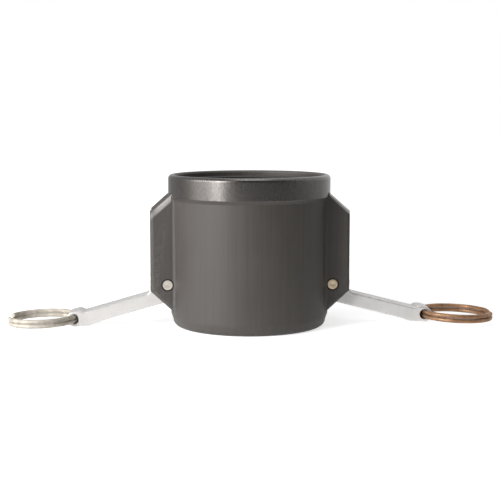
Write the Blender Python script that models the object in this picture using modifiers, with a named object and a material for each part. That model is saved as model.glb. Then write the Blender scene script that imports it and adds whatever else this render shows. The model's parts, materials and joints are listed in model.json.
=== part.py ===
"""A cam and groove coupler: a cast socket with a threaded mouth, two cam arms on pins, and their pull rings.

Units are metres, +Z is up. The origin is on the coupler's axis, at the mating face that it stands on.
Each arm is drawn in its own frame, with its pin at the origin: u runs out along the bar, and v is the
side of the bar that lies against the body when the arm is closed.
"""
import bpy
import bmesh
from math import acos, asin, atan2, cos, hypot, pi, radians, sin, sqrt, tan
from mathutils import Matrix, Vector

# Body casting
BODY_RADIUS = 0.0422
BODY_HEIGHT = 0.081
COLLAR_STEP = 0.0012
COLLAR_HEIGHT = 0.0117
COLLAR_UNDERCUT = 0.0005
RIM_EDGE = 0.0014
FOOT_TAPER_HEIGHT = 0.0068
FOOT_TAPER = 0.0012
FOOT_EDGE = 0.0034
FOOT_CURVE_STEPS = 5

# Threaded mouth, with a plain counterbore above the thread
RIM_WALL = 0.00395
MOUTH_DEPTH = 0.003
COUNTERBORE_STEP = 0.0025
THREAD_LENGTH = 0.0242
THREAD_LEAD_IN = 0.0006
THREAD_PITCH = 0.003175
THREAD_DEPTH = 0.0027
THREAD_CREST_WIDTH = 0.00035
THREAD_ROOT_FLAT = 0.0002
THREAD_EMBED = 0.0003
THREAD_END_SKIN = 0.00006
THREAD_STEPS = 36
THREAD_FADE_STEPS = 6

# Land between the two sockets, and the gasket under it, which the mating bore's step holds in
LAND_THICKNESS = 0.0031
GASKET_THICKNESS = 0.00635
GASKET_RADIUS = 0.03335
GASKET_WIDTH = 0.00795
GASKET_EDGE = 0.0006
GASKET_CLEARANCE = 0.00035
GASKET_HOLD = 0.0014
BORE_CHAMFER = 0.0012

# Ears that carry the pins
EAR_PROJECTION = 0.0106
EAR_OUTER_FACE = 0.0138
EAR_TOP = 0.0623
EAR_TOP_SLOPE = radians(41.6)
EAR_BOTTOM = 0.0198
EAR_BOTTOM_SLOPE = radians(42.7)
EAR_CORNER = 0.0014
EAR_EDGE = 0.0012
EAR_TOP_EMBED = 0.0011

# Pins and running clearances
PIN_STANDOFF = 0.0015
PIN_Z = 0.0232
PIN_RADIUS = 0.00295
PIN_RECESS = 0.0003
PIN_CHAMFER = 0.0003
PIN_CLEARANCE = 0.0003
ARM_SIDE_CLEARANCE = 0.0004
WINDOW_TOP_CLEARANCE = 0.0015
WINDOW_SILL_CLEARANCE = 0.0008

# Cam arms
ARM_WIDTH = 0.0135
ARM_EDGE = 0.0005
HUB_RADIUS = 0.01005
LOBE_REACH = 0.0165
LOBE_RADIUS = 0.006
BAR_INNER = -0.0026
BAR_THICKNESS = 0.0071
BAR_ROOT_FILLET = 0.003
HEEL_ANGLE = radians(-75.0)
HEEL_RUN = 0.0114
SWELL_RUN = 0.009
SWELL_DEPTH = 0.0004
SWELL_RADIUS = 0.004
SWELL_SETBACK = 0.0069
EYE_DISTANCE = 0.0536
EYE_OFFSET = -0.0046
EYE_WALL = 0.0012
SHOULDER_RADIUS = 0.0039
SHOULDER_SETBACK = 0.0027
SHOULDER_FILLET = 0.0015

# How high the open arms' ends lie above the surface that the coupler stands on
LEFT_ARM_LIFT = 0.00015
RIGHT_ARM_LIFT = 0.0015

# Split rings of two turns
LEFT_RING_RADIUS = 0.0178
RIGHT_RING_RADIUS = 0.0188
WIRE_RADIUS = 0.00115
TURN_GAP = 0.00006
EYE_CLEARANCE = 0.0003
RING_START = radians(20.0)
RING_TURN_STEPS = 36
LEFT_RING_LIFT = 0.0008
RIGHT_RING_LIFT = 0.0018

# Facets
ROUND_STEPS = 72
HOLE_STEPS = 24
EDGE_STEPS = 3
ARC_STEP = radians(14.0)
CUT_MARGIN = 0.005
MERGE_DISTANCE = 0.00001
SHARP_ANGLE = radians(32.0)

# Worked out from the sizes above
COLLAR_RADIUS = BODY_RADIUS + COLLAR_STEP
MOUTH_RADIUS = COLLAR_RADIUS - RIM_WALL
THREAD_ROOT_RADIUS = MOUTH_RADIUS - COUNTERBORE_STEP
WATERWAY_RADIUS = GASKET_RADIUS - GASKET_WIDTH
BORE_RADIUS = GASKET_RADIUS - GASKET_HOLD
EAR_REACH = BODY_RADIUS + EAR_PROJECTION
PIN_X = BODY_RADIUS + PIN_STANDOFF
COLLAR_BOTTOM = BODY_HEIGHT - COLLAR_HEIGHT
MOUTH_FLOOR = BODY_HEIGHT - MOUTH_DEPTH
LAND_TOP = MOUTH_FLOOR - THREAD_LENGTH
LAND_BOTTOM = LAND_TOP - LAND_THICKNESS
GASKET_TOP = LAND_BOTTOM - GASKET_CLEARANCE
GASKET_BOTTOM = GASKET_TOP - GASKET_THICKNESS
BORE_TOP = GASKET_BOTTOM - GASKET_CLEARANCE
SLOT_HALF = ARM_WIDTH / 2 + ARM_SIDE_CLEARANCE
EAR_ROOT = (sqrt(BODY_RADIUS**2 - EAR_OUTER_FACE**2) + sqrt(THREAD_ROOT_RADIUS**2 - SLOT_HALF**2)) / 2
PIN_HOLE_RADIUS = PIN_RADIUS + PIN_CLEARANCE
WINDOW_BOTTOM = PIN_Z - HUB_RADIUS - WINDOW_SILL_CLEARANCE
WINDOW_TOP = PIN_Z + LOBE_REACH + WINDOW_TOP_CLEARANCE
BAR_OUTER = BAR_INNER - BAR_THICKNESS
TURN_RISE = WIRE_RADIUS + TURN_GAP / 2
SWELL_CENTRE = (EYE_DISTANCE - SWELL_SETBACK, BAR_OUTER - SWELL_DEPTH + SWELL_RADIUS)


def ring_sag(radius):
    """How much a ring's wire bows across the arm's width."""
    return radius - sqrt(radius**2 - (ARM_WIDTH / 2)**2)


def ring_offset(radius):
    """Distance from the eye to the ring's middle."""
    return radius - ring_sag(radius) / 2


def eye_hole(radius):
    """Radius of an eye that clears both turns of a ring."""
    return hypot(ring_sag(radius) / 2, TURN_RISE) + WIRE_RADIUS + EYE_CLEARANCE


EYE_HOLE_RADIUS = max(eye_hole(LEFT_RING_RADIUS), eye_hole(RIGHT_RING_RADIUS))
EYE_RADIUS = EYE_HOLE_RADIUS + EYE_WALL


def open_angle(lift):
    """Angle below level at which the lowest of the arm's end curves is the given height above the ground."""
    angles = []
    for centre, radius in ((SWELL_CENTRE, SWELL_RADIUS), ((EYE_DISTANCE, EYE_OFFSET), EYE_RADIUS)):
        drop = asin((PIN_Z - radius - lift) / hypot(*centre))
        angles.append(drop - atan2(-centre[1], centre[0]))
    return min(angles)


def ring_tilt(arm_angle, radius, lift):
    """Angle below level at which the ring's far side is the given height above the ground."""
    eye_height = PIN_Z - EYE_DISTANCE * sin(arm_angle) + EYE_OFFSET * cos(arm_angle)
    far_side = ring_offset(radius) + radius + WIRE_RADIUS
    half_stack = TURN_RISE + WIRE_RADIUS
    return asin((eye_height - lift) / hypot(far_side, half_stack)) - atan2(half_stack, far_side)


LEFT_OPEN_ANGLE = open_angle(LEFT_ARM_LIFT)
RIGHT_OPEN_ANGLE = open_angle(RIGHT_ARM_LIFT)

LEFT_RING_TILT = ring_tilt(LEFT_OPEN_ANGLE, LEFT_RING_RADIUS, LEFT_RING_LIFT)
RIGHT_RING_TILT = ring_tilt(RIGHT_OPEN_ANGLE, RIGHT_RING_RADIUS, RIGHT_RING_LIFT)

SIDES = (
    ("left", -1, LEFT_OPEN_ANGLE, LEFT_RING_RADIUS, LEFT_RING_TILT),
    ("right", 1, RIGHT_OPEN_ANGLE, RIGHT_RING_RADIUS, RIGHT_RING_TILT),
)


def clear_scene():
    for old in list(bpy.data.objects):
        bpy.data.objects.remove(old, do_unlink=True)


def new_collection(name):
    collection = bpy.data.collections.new(name)
    bpy.context.scene.collection.children.link(collection)
    return collection


def new_material(name, color, roughness, metallic):
    material = bpy.data.materials.new(name)
    material.use_nodes = True
    shader = material.node_tree.nodes["Principled BSDF"]
    shader.inputs["Base Color"].default_value = (*color, 1.0)
    shader.inputs["Roughness"].default_value = roughness
    shader.inputs["Metallic"].default_value = metallic
    return material


def add_object(name, data, collection, matrix=Matrix()):
    item = bpy.data.objects.new(name, data)
    collection.objects.link(item)
    item.matrix_world = matrix
    return item


def add_cutter(name, data, collection, matrix=Matrix()):
    cutter = add_object(name, data, collection, matrix)
    cutter.hide_render = True
    cutter.display_type = "WIRE"
    return cutter


def arc(centre, radius, start, end, steps=None):
    """Points of a circle's arc, from the angle start to the angle end, both included."""
    count = steps or max(1, round(abs(end - start) / ARC_STEP))
    angles = (start + (end - start) * i / count for i in range(count + 1))
    return [(centre[0] + radius * cos(a), centre[1] + radius * sin(a)) for a in angles]


def tangent_angle(first, first_radius, second, second_radius):
    """Direction from either centre to the line that touches both circles on their right-hand side."""
    run, rise = second[0] - first[0], second[1] - first[1]
    return atan2(rise, run) - acos((first_radius - second_radius) / hypot(run, rise))


def turned_mesh(name, outline):
    """A closed outline of (radius, height) points, turned about the Z axis."""
    profile = bpy.data.meshes.new(name + "_profile")
    builder = bmesh.new()
    corners = [builder.verts.new((radius, 0.0, height)) for radius, height in outline]
    for first, second in zip(corners, corners[1:] + corners[:1]):
        builder.edges.new((first, second))
    builder.to_mesh(profile)
    builder.free()
    lathe = bpy.data.objects.new(name + "_lathe", profile)
    bpy.context.scene.collection.objects.link(lathe)
    screw = lathe.modifiers.new("Turn", "SCREW")
    screw.steps = ROUND_STEPS
    screw.render_steps = ROUND_STEPS
    screw.use_merge_vertices = True
    screw.merge_threshold = MERGE_DISTANCE
    return taken_mesh(name, lathe)


def taken_mesh(name, source):
    """The evaluated mesh of an object, welded, and the object removed."""
    evaluated = source.evaluated_get(bpy.context.evaluated_depsgraph_get())
    mesh = bpy.data.meshes.new_from_object(evaluated)
    mesh.name = name
    bpy.data.objects.remove(source, do_unlink=True)
    builder = bmesh.new()
    builder.from_mesh(mesh)
    bmesh.ops.remove_doubles(builder, verts=builder.verts, dist=MERGE_DISTANCE)
    builder.to_mesh(mesh)
    builder.free()
    return mesh


def flat_mesh(name, outlines, thickness, edge):
    """Closed outlines, the first one outside and the others holes, filled and extruded along local Z."""
    curve = bpy.data.curves.new(name + "_outline", "CURVE")
    curve.dimensions = "2D"
    curve.fill_mode = "BOTH"
    curve.extrude = thickness / 2 - edge
    curve.bevel_depth = edge
    curve.bevel_resolution = 0
    curve.offset = -edge
    for outline in outlines:
        spline = curve.splines.new("POLY")
        spline.points.add(len(outline) - 1)
        for point, (across, up) in zip(spline.points, outline):
            point.co = (across, up, 0.0, 1.0)
        spline.use_cyclic_u = True
    sheet = bpy.data.objects.new(name + "_sheet", curve)
    bpy.context.scene.collection.objects.link(sheet)
    return taken_mesh(name, sheet)


def wire_mesh(name, points):
    """A round wire through the points, with closed ends."""
    curve = bpy.data.curves.new(name + "_path", "CURVE")
    curve.dimensions = "3D"
    curve.bevel_depth = WIRE_RADIUS
    curve.bevel_resolution = 2
    curve.use_fill_caps = True
    spline = curve.splines.new("POLY")
    spline.points.add(len(points) - 1)
    for point, place in zip(spline.points, points):
        point.co = (*place, 1.0)
    wire = bpy.data.objects.new(name + "_wire", curve)
    bpy.context.scene.collection.objects.link(wire)
    return taken_mesh(name, wire)


def box_mesh(name, low, high):
    mesh = bpy.data.meshes.new(name)
    builder = bmesh.new()
    size = Vector(high) - Vector(low)
    place = Matrix.Translation((Vector(high) + Vector(low)) / 2) @ Matrix.Diagonal((*size, 1.0))
    bmesh.ops.create_cube(builder, size=1.0, matrix=place)
    builder.to_mesh(mesh)
    builder.free()
    return mesh


def rod_mesh(name, radius, length, chamfer=0.0):
    """A cylinder along Y, centred on the origin."""
    mesh = bpy.data.meshes.new(name)
    builder = bmesh.new()
    bmesh.ops.create_cone(
        builder, cap_ends=True, segments=HOLE_STEPS, radius1=radius, radius2=radius, depth=length,
        matrix=Matrix.Rotation(pi / 2, 4, "X"),
    )
    if chamfer:
        rims = [edge for edge in builder.edges if abs(edge.verts[0].co.y - edge.verts[1].co.y) < length / 2]
        bmesh.ops.bevel(builder, geom=rims, offset=chamfer, segments=1, profile=0.5, affect="EDGES")
    builder.to_mesh(mesh)
    builder.free()
    return mesh


def apply_boolean(target, tool, operation):
    cut = target.modifiers.new(operation.title(), "BOOLEAN")
    cut.operation = operation
    cut.solver = "EXACT"
    cut.object = tool


def bake(item):
    """Keeps the result of the object's modifiers as its mesh."""
    bpy.context.view_layer.update()
    evaluated = item.evaluated_get(bpy.context.evaluated_depsgraph_get())
    mesh = bpy.data.meshes.new_from_object(evaluated)
    mesh.name = item.name
    item.modifiers.clear()
    item.data = mesh


def finish(item, material):
    item.data.materials.clear()
    item.data.materials.append(material)
    item.data.shade_smooth()
    item.data.set_sharp_from_angle(angle=SHARP_ANGLE)


def body_outline():
    """The casting's section: down the outside, in along the foot, and up through the two sockets."""
    outline = arc((COLLAR_RADIUS - RIM_EDGE, BODY_HEIGHT - RIM_EDGE), RIM_EDGE, pi / 2, 0, EDGE_STEPS)
    outline += [
        (COLLAR_RADIUS, COLLAR_BOTTOM + COLLAR_UNDERCUT),
        (COLLAR_RADIUS - COLLAR_UNDERCUT, COLLAR_BOTTOM),
        (BODY_RADIUS, COLLAR_BOTTOM),
        (BODY_RADIUS, FOOT_TAPER_HEIGHT),
    ]
    foot_centre = (BODY_RADIUS - FOOT_TAPER - FOOT_EDGE, FOOT_EDGE)
    outline += arc(foot_centre, FOOT_EDGE, 0, -pi / 2, FOOT_CURVE_STEPS)
    outline += [
        (BORE_RADIUS + BORE_CHAMFER, 0.0),
        (BORE_RADIUS, BORE_CHAMFER),
        (BORE_RADIUS, BORE_TOP),
        (GASKET_RADIUS + GASKET_CLEARANCE, BORE_TOP),
        (GASKET_RADIUS + GASKET_CLEARANCE, LAND_BOTTOM),
        (WATERWAY_RADIUS, LAND_BOTTOM),
        (WATERWAY_RADIUS, LAND_TOP),
        (THREAD_ROOT_RADIUS, LAND_TOP),
        (THREAD_ROOT_RADIUS, MOUTH_FLOOR - THREAD_LEAD_IN),
        (THREAD_ROOT_RADIUS + THREAD_LEAD_IN, MOUTH_FLOOR),
        (MOUTH_RADIUS, MOUTH_FLOOR),
    ]
    outline += arc((MOUTH_RADIUS + RIM_EDGE, BODY_HEIGHT - RIM_EDGE), RIM_EDGE, pi, pi / 2, EDGE_STEPS)
    return outline


def thread_mesh(name):
    """The thread's ridge, wound up the mouth. Its foot is inside the wall, which it grows out of at both ends."""
    foot = THREAD_ROOT_RADIUS + THREAD_EMBED
    half_foot = (THREAD_PITCH - THREAD_ROOT_FLAT) / 2
    half_crest = THREAD_CREST_WIDTH / 2
    climb = THREAD_LENGTH - THREAD_LEAD_IN - 2 * half_foot
    count = int(climb / THREAD_PITCH * THREAD_STEPS)
    builder = bmesh.new()
    sections = []
    for i in range(count + 1):
        angle = 2 * pi * i / THREAD_STEPS
        height = LAND_TOP + half_foot + THREAD_PITCH * i / THREAD_STEPS
        grown = min(1.0, i / THREAD_FADE_STEPS, (count - i) / THREAD_FADE_STEPS)
        crest = foot - THREAD_END_SKIN - grown * (THREAD_EMBED - THREAD_END_SKIN + THREAD_DEPTH)
        corners = ((foot, -half_foot), (foot, half_foot), (crest, half_crest), (crest, -half_crest))
        sections.append([
            builder.verts.new((radius * cos(angle), radius * sin(angle), height + rise)) for radius, rise in corners
        ])
    for low, high in zip(sections, sections[1:]):
        for first, second in ((0, 1), (1, 2), (2, 3), (3, 0)):
            builder.faces.new((low[first], low[second], high[second], high[first]))
    builder.faces.new(sections[0])
    builder.faces.new(sections[-1])
    bmesh.ops.triangulate(builder, faces=builder.faces)
    bmesh.ops.recalc_face_normals(builder, faces=builder.faces)
    mesh = bpy.data.meshes.new(name)
    builder.to_mesh(mesh)
    builder.free()
    return mesh


def ear_outline():
    """One side's ears seen from the front, from their root inside the wall out to their end face."""
    top_run = EAR_REACH - BODY_RADIUS + EAR_TOP_EMBED
    root_run = EAR_REACH - EAR_ROOT
    corner_top = EAR_CORNER * (1 / cos(EAR_TOP_SLOPE) - tan(EAR_TOP_SLOPE))
    corner_bottom = EAR_CORNER * (1 / cos(EAR_BOTTOM_SLOPE) - tan(EAR_BOTTOM_SLOPE))
    outline = [(EAR_ROOT, EAR_BOTTOM - root_run * tan(EAR_BOTTOM_SLOPE))]
    outline += arc(
        (EAR_REACH - EAR_CORNER, EAR_BOTTOM + corner_bottom), EAR_CORNER,
        EAR_BOTTOM_SLOPE - pi / 2, 0, EDGE_STEPS,
    )
    outline += arc(
        (EAR_REACH - EAR_CORNER, EAR_TOP - corner_top), EAR_CORNER,
        0, pi / 2 - EAR_TOP_SLOPE, EDGE_STEPS,
    )
    outline += [
        (EAR_REACH - top_run, EAR_TOP + top_run * tan(EAR_TOP_SLOPE)),
        (EAR_ROOT, EAR_TOP + top_run * tan(EAR_TOP_SLOPE)),
    ]
    return outline


def make_body(parts, cutters, material):
    body = add_object("body", turned_mesh("body", body_outline()), parts)
    apply_boolean(body, add_cutter("thread_ridge", thread_mesh("thread_ridge"), cutters), "UNION")
    ears = flat_mesh("ears", [ear_outline()], EAR_OUTER_FACE * 2, EAR_EDGE)
    slot = box_mesh(
        "slot",
        (EAR_ROOT - CUT_MARGIN, -SLOT_HALF, -CUT_MARGIN),
        (EAR_REACH + CUT_MARGIN, SLOT_HALF, BODY_HEIGHT + CUT_MARGIN),
    )
    window = box_mesh(
        "window",
        (BORE_RADIUS - CUT_MARGIN, -SLOT_HALF, WINDOW_BOTTOM),
        (COLLAR_RADIUS + CUT_MARGIN, SLOT_HALF, WINDOW_TOP),
    )
    pin_hole = rod_mesh("pin_hole", PIN_HOLE_RADIUS, (EAR_OUTER_FACE + CUT_MARGIN) * 2)
    upright = Matrix.Rotation(pi / 2, 4, "X")
    for side, sign, _, _, _ in SIDES:
        facing = Matrix.Rotation(0.0 if sign > 0 else pi, 4, "Z")
        slot_cutter = add_cutter(side + "_slot_cutter", slot, cutters, facing)
        ear_pair = add_cutter(side + "_ear_pair", ears.copy(), cutters, facing @ upright)
        apply_boolean(ear_pair, slot_cutter, "DIFFERENCE")
        bake(ear_pair)
        apply_boolean(body, ear_pair, "UNION")
        apply_boolean(body, add_cutter(side + "_window_cutter", window, cutters, facing), "DIFFERENCE")
        pin_place = Matrix.Translation((sign * PIN_X, 0.0, PIN_Z))
        apply_boolean(body, add_cutter(side + "_pin_hole_cutter", pin_hole, cutters, pin_place), "DIFFERENCE")
    bake(body)
    finish(body, material)


def make_gasket(parts, material):
    outline = [
        (GASKET_RADIUS - GASKET_EDGE, GASKET_TOP),
        (GASKET_RADIUS, GASKET_TOP - GASKET_EDGE),
        (GASKET_RADIUS, GASKET_BOTTOM + GASKET_EDGE),
        (GASKET_RADIUS - GASKET_EDGE, GASKET_BOTTOM),
        (WATERWAY_RADIUS + GASKET_EDGE, GASKET_BOTTOM),
        (WATERWAY_RADIUS, GASKET_BOTTOM + GASKET_EDGE),
        (WATERWAY_RADIUS, GASKET_TOP - GASKET_EDGE),
        (WATERWAY_RADIUS + GASKET_EDGE, GASKET_TOP),
    ]
    gasket = add_object("gasket", turned_mesh("gasket", outline), parts)
    finish(gasket, material)


def arm_outline():
    """The cam arm's side view: hub, cam lobe, bar, and the thicker end around the eye."""
    hub = (0.0, 0.0)
    lobe = (0.0, LOBE_REACH - LOBE_RADIUS)
    eye = (EYE_DISTANCE, EYE_OFFSET)
    shoulder = (EYE_DISTANCE - SHOULDER_SETBACK, EYE_OFFSET)
    swell = SWELL_CENTRE
    flank = pi / 2 - acos((HUB_RADIUS - LOBE_RADIUS) / lobe[1])
    root_height = BAR_INNER + BAR_ROOT_FILLET
    root = (sqrt((HUB_RADIUS + BAR_ROOT_FILLET)**2 - root_height**2), root_height)
    root_angle = atan2(root[1], root[0])
    step_height = BAR_INNER + SHOULDER_FILLET
    step_run = sqrt((SHOULDER_RADIUS + SHOULDER_FILLET)**2 - (step_height - shoulder[1])**2)
    step = (shoulder[0] - step_run, step_height)
    step_angle = atan2(step[1] - shoulder[1], step[0] - shoulder[0])
    outline = arc(root, BAR_ROOT_FILLET, -pi / 2, root_angle - pi)
    outline += arc(hub, HUB_RADIUS, root_angle, flank)[1:]
    outline += arc(lobe, LOBE_RADIUS, flank, pi - flank)
    outline += arc(hub, HUB_RADIUS, pi - flank, HEEL_ANGLE + 2 * pi)
    heel_end = outline[-1][0] + HEEL_RUN
    outline += [(heel_end, BAR_OUTER), (swell[0] - SWELL_RUN, BAR_OUTER)]
    swell_start = -pi / 2 - atan2(SWELL_DEPTH, SWELL_RUN)
    swell_end = tangent_angle(swell, SWELL_RADIUS, eye, EYE_RADIUS)
    shoulder_end = tangent_angle(eye, EYE_RADIUS, shoulder, SHOULDER_RADIUS) % (2 * pi)
    outline += arc(swell, SWELL_RADIUS, swell_start, swell_end)
    outline += arc(eye, EYE_RADIUS, swell_end, shoulder_end)
    outline += arc(shoulder, SHOULDER_RADIUS, shoulder_end, step_angle)
    outline += arc(step, SHOULDER_FILLET, step_angle - pi, -pi / 2)[1:]
    return outline


def hole_outline(centre, radius):
    return arc(centre, radius, 0, 2 * pi, HOLE_STEPS)[:-1]


def arm_frame(sign, angle):
    """The arm's frame in the world: its X is u, its Z is v, and its origin is on the pin's axis."""
    facing = Matrix.Rotation(0.0 if sign > 0 else pi, 4, "Z")
    return Matrix.Translation((sign * PIN_X, 0.0, PIN_Z)) @ facing @ Matrix.Rotation(angle, 4, "Y")


def make_arm(name, sign, angle, parts, material):
    holes = [hole_outline((0.0, 0.0), PIN_HOLE_RADIUS), hole_outline((EYE_DISTANCE, EYE_OFFSET), EYE_HOLE_RADIUS)]
    mesh = flat_mesh(name, [arm_outline()] + holes, ARM_WIDTH, ARM_EDGE)
    upright = Matrix.Rotation(pi / 2, 4, "X")
    arm = add_object(name, mesh, parts, arm_frame(sign, angle) @ upright)
    finish(arm, material)


def make_pin(name, sign, parts, material):
    mesh = rod_mesh(name, PIN_RADIUS, (EAR_OUTER_FACE - PIN_RECESS) * 2, PIN_CHAMFER)
    pin = add_object(name, mesh, parts, Matrix.Translation((sign * PIN_X, 0.0, PIN_Z)))
    finish(pin, material)


def ring_height(angle):
    """Height of the wire along its two turns: low, then a smooth step at the ends, then high."""
    along = (angle - 2 * pi + RING_START) / (2 * RING_START)
    along = min(1.0, max(0.0, along))
    return TURN_RISE * (2 * along * along * (3 - 2 * along) - 1)


def ring_points(radius):
    """The wire's centre line about the eye: out along X, from just past its far side, twice round."""
    sweep = 4 * pi - 2 * RING_START
    count = round(sweep / (2 * pi) * RING_TURN_STEPS)
    points = []
    for i in range(count + 1):
        angle = RING_START + sweep * i / count
        points.append((ring_offset(radius) + radius * cos(angle), radius * sin(angle), ring_height(angle)))
    return points


def make_ring(name, sign, arm_angle, radius, tilt, parts, material):
    eye = arm_frame(sign, arm_angle) @ Vector((EYE_DISTANCE, 0.0, EYE_OFFSET))
    facing = Matrix.Rotation(0.0 if sign > 0 else pi, 4, "Z")
    place = Matrix.Translation(eye) @ facing @ Matrix.Rotation(tilt, 4, "Y")
    ring = add_object(name, wire_mesh(name, ring_points(radius)), parts, place)
    finish(ring, material)


def main():
    clear_scene()
    parts = new_collection("Cam and groove coupler")
    cutters = new_collection("Cutters")
    hard_coat = new_material("hard_coat", (0.13, 0.12, 0.11), 0.42, 0.75)
    arm_steel = new_material("arm_steel", (0.68, 0.66, 0.64), 0.38, 1.0)
    pin_steel = new_material("pin_steel", (0.62, 0.58, 0.53), 0.34, 1.0)
    ring_nickel = new_material("ring_nickel", (0.66, 0.62, 0.56), 0.22, 1.0)
    ring_bronze = new_material("ring_bronze", (0.42, 0.26, 0.17), 0.28, 1.0)
    gasket_rubber = new_material("gasket_rubber", (0.02, 0.02, 0.02), 0.75, 0.0)
    ring_metal = {"left": ring_nickel, "right": ring_bronze}

    make_body(parts, cutters, hard_coat)
    make_gasket(parts, gasket_rubber)
    for side, sign, arm_angle, radius, tilt in SIDES:
        make_pin(side + "_pin", sign, parts, pin_steel)
        make_arm(side + "_cam_arm", sign, arm_angle, parts, arm_steel)
        make_ring(side + "_pull_ring", sign, arm_angle, radius, tilt, parts, ring_metal[side])


main()
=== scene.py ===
"""The finished look of a cam and groove coupler, built around its packed solids.

Units are metres and +Z is up. The coupler stands on its mating face at the origin, with one cam arm
towards -X and the other towards +X. Each arm's own plane is X-Z: u runs out along its bar, and v is the
side of the bar that lies against the body when the arm is closed.
"""
import json
from math import acos, atan2, cos, hypot, pi, radians, sin, sqrt, tau

import bmesh
import bpy
from bpy.props import FloatProperty, FloatVectorProperty, IntProperty, PointerProperty
from mathutils import Matrix, Vector

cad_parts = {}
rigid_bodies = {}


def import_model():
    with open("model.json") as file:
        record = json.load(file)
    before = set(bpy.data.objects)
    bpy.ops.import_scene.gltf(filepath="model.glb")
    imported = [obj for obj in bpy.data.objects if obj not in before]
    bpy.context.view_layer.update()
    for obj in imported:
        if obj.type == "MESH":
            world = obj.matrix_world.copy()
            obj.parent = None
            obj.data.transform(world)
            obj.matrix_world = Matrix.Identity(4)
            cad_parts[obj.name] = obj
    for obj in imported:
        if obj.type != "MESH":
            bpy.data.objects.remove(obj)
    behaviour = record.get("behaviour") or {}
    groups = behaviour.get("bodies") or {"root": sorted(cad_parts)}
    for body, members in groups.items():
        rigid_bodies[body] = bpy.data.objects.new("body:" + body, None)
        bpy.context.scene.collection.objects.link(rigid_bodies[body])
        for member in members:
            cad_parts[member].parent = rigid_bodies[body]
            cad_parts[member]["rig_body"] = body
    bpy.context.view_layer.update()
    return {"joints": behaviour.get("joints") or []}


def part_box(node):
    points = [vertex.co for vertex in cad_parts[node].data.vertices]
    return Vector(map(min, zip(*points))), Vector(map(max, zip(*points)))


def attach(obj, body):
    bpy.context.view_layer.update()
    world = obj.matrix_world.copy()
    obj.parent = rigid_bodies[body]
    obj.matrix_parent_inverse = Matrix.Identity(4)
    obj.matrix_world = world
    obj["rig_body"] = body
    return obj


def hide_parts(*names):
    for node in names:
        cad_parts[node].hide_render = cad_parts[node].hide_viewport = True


bl_info = {
    "name": "Cam and groove coupler",
    "version": (1, 0, 0),
    "blender": (4, 5, 0),
    "location": "View3D > Sidebar > Coupler",
    "description": "Builds a cam and groove coupler with its cam arms, pins and pull rings",
    "category": "Object",
}

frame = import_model()
BODY_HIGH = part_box("body")[1]
GASKET_LOW, GASKET_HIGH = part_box("gasket")
ARM_LOW, ARM_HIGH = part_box("left_cam_arm")
PIN_LOW, PIN_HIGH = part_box("left_pin")
JOINT_PLACE = {joint["name"]: Vector(joint["pos_m"]) for joint in frame["joints"]}
SIDES = (("left", -1), ("right", 1))
RING_METALS = {"left": "nickel", "right": "bronze"}

EDGE_LAYER = "edge_wear"
MERGE_DISTANCE = 0.000002
SHARP_ANGLE = radians(28.0)
FINE_ARC = radians(5.0)
CUT_MARGIN = 0.004
COLLAR_CORNER = 0.0002
BLEND = 0.0006
MIDDLE_BLEND = 0.01
PIN_SHADOW_BLEND = 0.00012
RIM_FADE = (0.0004, 0.0012)
HIGHLIGHT_CORNER_FADE = (0.0055, 0.001)
ROD_SIDE_CORNERS = 4
HOLE_TOLERANCE = 0.00002
# A Mix node's colour sockets have the same names as its other sockets, so they go by number.
MIX_SHARE, MIX_FIRST, MIX_SECOND = 0, 6, 7
MIX_RESULT = 2
LAMP_AIM = Vector((0.0, 0.0, 0.035))


def length(name, default, about):
    return FloatProperty(name=name, description=about, default=default, min=0.0, unit="LENGTH", precision=5)


def offset(name, default, about):
    return FloatProperty(name=name, description=about, default=default, unit="LENGTH", precision=5)


def angle(name, degrees, about):
    return FloatProperty(name=name, description=about, default=radians(degrees), subtype="ANGLE")


def share(name, default, about):
    return FloatProperty(name=name, description=about, default=default, min=0.0, max=1.0, subtype="FACTOR")


def count(name, default, about):
    return IntProperty(name=name, description=about, default=default, min=3)


def color(name, default, about):
    return FloatVectorProperty(
        name=name, description=about, default=default, subtype="COLOR", size=3, min=0.0, max=1.0
    )


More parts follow.
